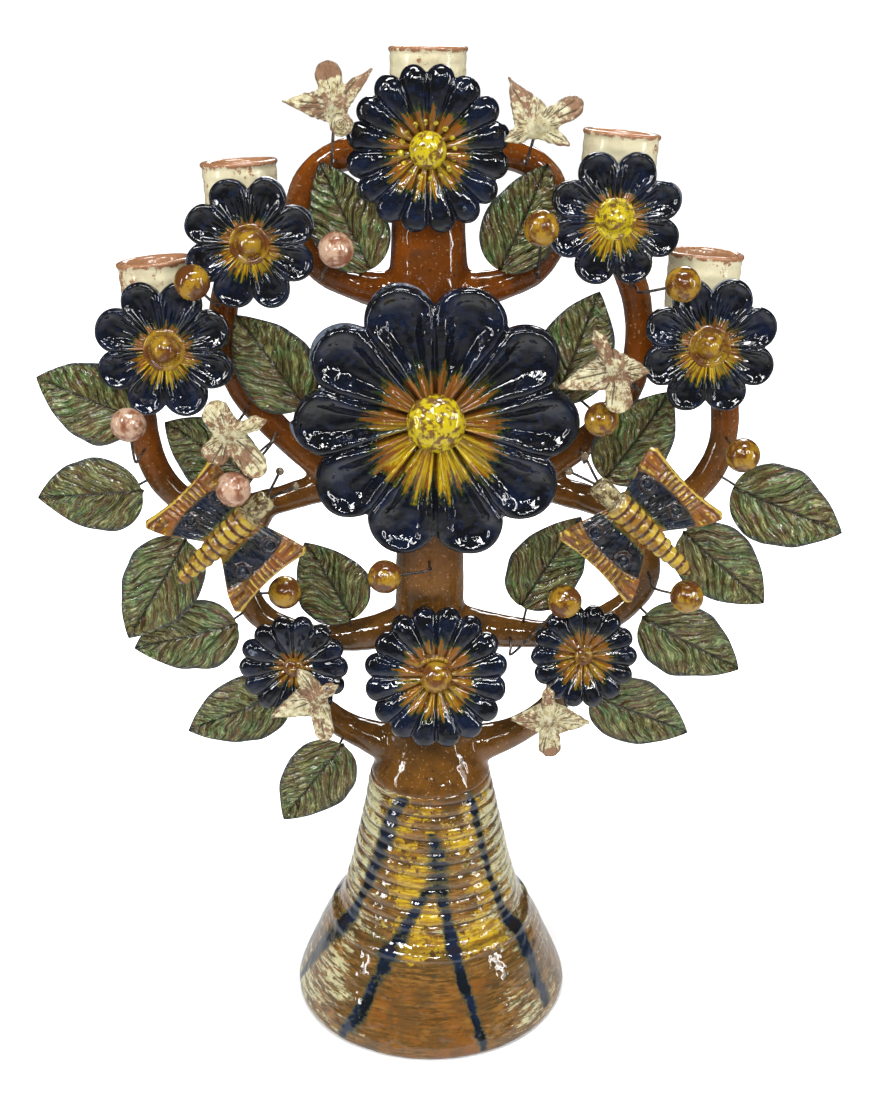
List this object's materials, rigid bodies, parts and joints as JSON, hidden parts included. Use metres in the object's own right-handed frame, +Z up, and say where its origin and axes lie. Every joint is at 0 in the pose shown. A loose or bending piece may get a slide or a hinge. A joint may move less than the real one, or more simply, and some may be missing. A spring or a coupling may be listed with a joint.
{
  "type": "tree of life candelabrum",
  "caption": "Glazed clay tree of life candelabrum: thrown hollow foot, curling arms with candle cups, and flowers, leaves, birds, butterflies and berries on wires.",
  "frame": {"origin": "middle of the underside of the foot", "axes": "+Z up along the trunk, +X to the right as seen from the front, and the decorated front faces -Y"},
  "size_m": [0.4652, 0.172, 0.58],
  "materials": {
    "base_glaze": "gloss",
    "brown_glaze": "gloss",
    "cream_glaze": "gloss",
    "cobalt_glaze": "gloss",
    "green_glaze": "gloss",
    "amber_glaze": "gloss",
    "bird_slip": "satin",
    "butterfly_glaze": "gloss"
  },
  "bodies": {
    "tree": {"pedestal": "base_glaze", "trunk": "brown_glaze", "arm_inner_left": "brown_glaze", "arm_inner_right": "brown_glaze", "arm_outer_left": "brown_glaze", "arm_outer_right": "brown_glaze", "arm_lower_left": "brown_glaze", "arm_lower_right": "brown_glaze", "cup_top": "cream_glaze", "cup_upper_left": "cream_glaze", "cup_upper_right": "cream_glaze", "cup_outer_left": "cream_glaze", "cup_outer_right": "cream_glaze", "flower_centre": "cobalt_glaze", "flower_top": "cobalt_glaze", "flower_upper_left": "cobalt_glaze", "flower_upper_right": "cobalt_glaze", "flower_outer_left": "cobalt_glaze", "flower_outer_right": "cobalt_glaze", "flower_bottom": "cobalt_glaze", "flower_lower_left": "cobalt_glaze", "flower_lower_right": "cobalt_glaze"},
    "leaf_01": {"leaf_01": "green_glaze"},
    "leaf_02": {"leaf_02": "green_glaze"},
    "leaf_03": {"leaf_03": "green_glaze"},
    "leaf_04": {"leaf_04": "green_glaze"},
    "leaf_05": {"leaf_05": "green_glaze"},
    "leaf_06": {"leaf_06": "green_glaze"},
    "leaf_07": {"leaf_07": "green_glaze"},
    "leaf_08": {"leaf_08": "green_glaze"},
    "leaf_09": {"leaf_09": "green_glaze"},
    "leaf_10": {"leaf_10": "green_glaze"},
    "leaf_11": {"leaf_11": "green_glaze"},
    "leaf_12": {"leaf_12": "green_glaze"},
    "leaf_13": {"leaf_13": "green_glaze"},
    "leaf_14": {"leaf_14": "green_glaze"},
    "leaf_15": {"leaf_15": "green_glaze"},
    "leaf_16": {"leaf_16": "green_glaze"},
    "leaf_17": {"leaf_17": "green_glaze"},
    "leaf_18": {"leaf_18": "green_glaze"},
    "berry_01": {"berry_01": "amber_glaze"},
    "berry_02": {"berry_02": "amber_glaze"},
    "berry_03": {"berry_03": "amber_glaze"},
    "berry_04": {"berry_04": "amber_glaze"},
    "berry_05": {"berry_05": "amber_glaze"},
    "berry_06": {"berry_06": "amber_glaze"},
    "berry_07": {"berry_07": "amber_glaze"},
    "berry_08": {"berry_08": "amber_glaze"},
    "berry_09": {"berry_09": "amber_glaze"},
    "berry_10": {"berry_10": "amber_glaze"},
    "berry_11": {"berry_11": "amber_glaze"},
    "berry_12": {"berry_12": "amber_glaze"},
    "bird_01": {"bird_01": "bird_slip"},
    "bird_02": {"bird_02": "bird_slip"},
    "bird_03": {"bird_03": "bird_slip"},
    "bird_04": {"bird_04": "bird_slip"},
    "bird_05": {"bird_05": "bird_slip"},
    "bird_06": {"bird_06": "bird_slip"},
    "butterfly_left": {"butterfly_left": "butterfly_glaze"},
    "butterfly_right": {"butterfly_right": "butterfly_glaze"}
  },
  "joints": [
    {"name": "leaf_01_sway", "type": "hinge", "parent": "tree", "child": "leaf_01", "pos_m": [-0.16795, -0.00808, 0.38455], "axis": [0, 1, 0], "range_deg": [-3, 3], "stiffness_Nm_per_rad": 1},
    {"name": "leaf_02_sway", "type": "hinge", "parent": "tree", "child": "leaf_02", "pos_m": [-0.16459, -0.00421, 0.34222], "axis": [0, 1, 0], "range_deg": [-3, 3], "stiffness_Nm_per_rad": 1},
    {"name": "leaf_03_sway", "type": "hinge", "parent": "tree", "child": "leaf_03", "pos_m": [-0.13731, -0.00596, 0.31866], "axis": [0, 1, 0], "range_deg": [-3, 3], "stiffness_Nm_per_rad": 1},
    {"name": "leaf_04_sway", "type": "hinge", "parent": "tree", "child": "leaf_04", "pos_m": [-0.11264, -0.00492, 0.25966], "axis": [0, 1, 0], "range_deg": [-3, 3], "stiffness_Nm_per_rad": 1},
    {"name": "leaf_05_sway", "type": "hinge", "parent": "tree", "child": "leaf_05", "pos_m": [-0.08762, -0.00584, 0.21196], "axis": [0, 1, 0], "range_deg": [-3, 3], "stiffness_Nm_per_rad": 1},
    {"name": "leaf_06_sway", "type": "hinge", "parent": "tree", "child": "leaf_06", "pos_m": [-0.05427, -0.00731, 0.1772], "axis": [0, 1, 0], "range_deg": [-3, 3], "stiffness_Nm_per_rad": 1},
    {"name": "leaf_07_sway", "type": "hinge", "parent": "tree", "child": "leaf_07", "pos_m": [-0.09158, -0.00331, 0.36498], "axis": [0, 1, 0], "range_deg": [-3, 3], "stiffness_Nm_per_rad": 1},
    {"name": "leaf_08_sway", "type": "hinge", "parent": "tree", "child": "leaf_08", "pos_m": [-0.08693, -0.0038, 0.38339], "axis": [0, 1, 0], "range_deg": [-3, 3], "stiffness_Nm_per_rad": 1},
    {"name": "leaf_09_sway", "type": "hinge", "parent": "tree", "child": "leaf_09", "pos_m": [-0.04743, -0.00484, 0.25239], "axis": [0, 1, 0], "range_deg": [-3, 3], "stiffness_Nm_per_rad": 1},
    {"name": "leaf_10_sway", "type": "hinge", "parent": "tree", "child": "leaf_10", "pos_m": [-0.03735, -0.00498, 0.46184], "axis": [0, 1, 0], "range_deg": [-3, 3], "stiffness_Nm_per_rad": 1},
    {"name": "leaf_11_sway", "type": "hinge", "parent": "tree", "child": "leaf_11", "pos_m": [0.04461, -0.00544, 0.4638], "axis": [0, 1, 0], "range_deg": [-3, 3], "stiffness_Nm_per_rad": 1},
    {"name": "leaf_12_sway", "type": "hinge", "parent": "tree", "child": "leaf_12", "pos_m": [0.09527, -0.00278, 0.3819], "axis": [0, 1, 0], "range_deg": [-3, 3], "stiffness_Nm_per_rad": 1},
    {"name": "leaf_13_sway", "type": "hinge", "parent": "tree", "child": "leaf_13", "pos_m": [0.1001, -0.0037, 0.33574], "axis": [0, 1, 0], "range_deg": [-3, 3], "stiffness_Nm_per_rad": 1},
    {"name": "leaf_14_sway", "type": "hinge", "parent": "tree", "child": "leaf_14", "pos_m": [0.16934, -0.00606, 0.34505], "axis": [0, 1, 0], "range_deg": [-3, 3], "stiffness_Nm_per_rad": 1},
    {"name": "leaf_15_sway", "type": "hinge", "parent": "tree", "child": "leaf_15", "pos_m": [0.14618, -0.00654, 0.32222], "axis": [0, 1, 0], "range_deg": [-3, 3], "stiffness_Nm_per_rad": 1},
    {"name": "leaf_16_sway", "type": "hinge", "parent": "tree", "child": "leaf_16", "pos_m": [0.12679, -0.00534, 0.2627], "axis": [0, 1, 0], "range_deg": [-3, 3], "stiffness_Nm_per_rad": 1},
    {"name": "leaf_17_sway", "type": "hinge", "parent": "tree", "child": "leaf_17", "pos_m": [0.09386, -0.00624, 0.2154], "axis": [0, 1, 0], "range_deg": [-3, 3], "stiffness_Nm_per_rad": 1},
    {"name": "leaf_18_sway", "type": "hinge", "parent": "tree", "child": "leaf_18", "pos_m": [0.05621, -0.00381, 0.25455], "axis": [0, 1, 0], "range_deg": [-3, 3], "stiffness_Nm_per_rad": 1},
    {"name": "berry_01_sway", "type": "hinge", "parent": "tree", "child": "berry_01", "pos_m": [-0.05769, -0.0088, 0.46282], "axis": [0, 1, 0], "range_deg": [-3, 3], "stiffness_Nm_per_rad": 0.6},
    {"name": "berry_02_sway", "type": "hinge", "parent": "tree", "child": "berry_02", "pos_m": [0.05849, -0.0088, 0.46359], "axis": [0, 1, 0], "range_deg": [-3, 3], "stiffness_Nm_per_rad": 0.6},
    {"name": "berry_03_sway", "type": "hinge", "parent": "tree", "child": "berry_03", "pos_m": [-0.1132, -0.0088, 0.44904], "axis": [0, 1, 0], "range_deg": [-3, 3], "stiffness_Nm_per_rad": 0.6},
    {"name": "berry_04_sway", "type": "hinge", "parent": "tree", "child": "berry_04", "pos_m": [0.11322, -0.0088, 0.45593], "axis": [0, 1, 0], "range_deg": [-3, 3], "stiffness_Nm_per_rad": 0.6},
    {"name": "berry_05_sway", "type": "hinge", "parent": "tree", "child": "berry_05", "pos_m": [-0.16306, -0.0088, 0.36199], "axis": [0, 1, 0], "range_deg": [-3, 3], "stiffness_Nm_per_rad": 0.6},
    {"name": "berry_06_sway", "type": "hinge", "parent": "tree", "child": "berry_06", "pos_m": [0.16971, -0.0088, 0.36907], "axis": [0, 1, 0], "range_deg": [-3, 3], "stiffness_Nm_per_rad": 0.6},
    {"name": "berry_07_sway", "type": "hinge", "parent": "tree", "child": "berry_07", "pos_m": [-0.08735, -0.0088, 0.37232], "axis": [0, 1, 0], "range_deg": [-3, 3], "stiffness_Nm_per_rad": 0.6},
    {"name": "berry_08_sway", "type": "hinge", "parent": "tree", "child": "berry_08", "pos_m": [0.08677, -0.00884, 0.36195], "axis": [0, 1, 0], "range_deg": [-3, 3], "stiffness_Nm_per_rad": 0.6},
    {"name": "berry_09_sway", "type": "hinge", "parent": "tree", "child": "berry_09", "pos_m": [-0.11089, -0.0085, 0.283], "axis": [0, 1, 0], "range_deg": [-3, 3], "stiffness_Nm_per_rad": 0.6},
    {"name": "berry_10_sway", "type": "hinge", "parent": "tree", "child": "berry_10", "pos_m": [0.12881, -0.00849, 0.28715], "axis": [0, 1, 0], "range_deg": [-3, 3], "stiffness_Nm_per_rad": 0.6},
    {"name": "berry_11_sway", "type": "hinge", "parent": "tree", "child": "berry_11", "pos_m": [0, -0.0208, 0.298], "axis": [0, 1, 0], "range_deg": [-3, 3], "stiffness_Nm_per_rad": 0.6},
    {"name": "berry_12_sway", "type": "hinge", "parent": "tree", "child": "berry_12", "pos_m": [0.04799, -0.01038, 0.24591], "axis": [0, 1, 0], "range_deg": [-3, 3], "stiffness_Nm_per_rad": 0.6},
    {"name": "bird_01_sway", "type": "hinge", "parent": "tree", "child": "bird_01", "pos_m": [-0.04997, -0.0088, 0.5229], "axis": [0, 1, 0], "range_deg": [-3, 3], "stiffness_Nm_per_rad": 1},
    {"name": "bird_02_sway", "type": "hinge", "parent": "tree", "child": "bird_02", "pos_m": [0.05086, -0.0088, 0.52259], "axis": [0, 1, 0], "range_deg": [-3, 3], "stiffness_Nm_per_rad": 1},
    {"name": "bird_03_sway", "type": "hinge", "parent": "tree", "child": "bird_03", "pos_m": [-0.102, -0.0088, 0.38899], "axis": [0, 1, 0], "range_deg": [-3, 3], "stiffness_Nm_per_rad": 1},
    {"name": "bird_04_sway", "type": "hinge", "parent": "tree", "child": "bird_04", "pos_m": [0.11538, -0.0088, 0.40192], "axis": [0, 1, 0], "range_deg": [-3, 3], "stiffness_Nm_per_rad": 1},
    {"name": "bird_05_sway", "type": "hinge", "parent": "tree", "child": "bird_05", "pos_m": [-0.06462, -0.00899, 0.19246], "axis": [0, 1, 0], "range_deg": [-3, 3], "stiffness_Nm_per_rad": 1},
    {"name": "bird_06_sway", "type": "hinge", "parent": "tree", "child": "bird_06", "pos_m": [0.08198, -0.00841, 0.2055], "axis": [0, 1, 0], "range_deg": [-3, 3], "stiffness_Nm_per_rad": 1},
    {"name": "butterfly_left_sway", "type": "hinge", "parent": "tree", "child": "butterfly_left", "pos_m": [-0.10637, -0.0088, 0.32457], "axis": [0, 1, 0], "range_deg": [-3, 3], "stiffness_Nm_per_rad": 2},
    {"name": "butterfly_right_sway", "type": "hinge", "parent": "tree", "child": "butterfly_right", "pos_m": [0.1092, -0.0088, 0.32498], "axis": [0, 1, 0], "range_deg": [-3, 3], "stiffness_Nm_per_rad": 2}
  ]
}
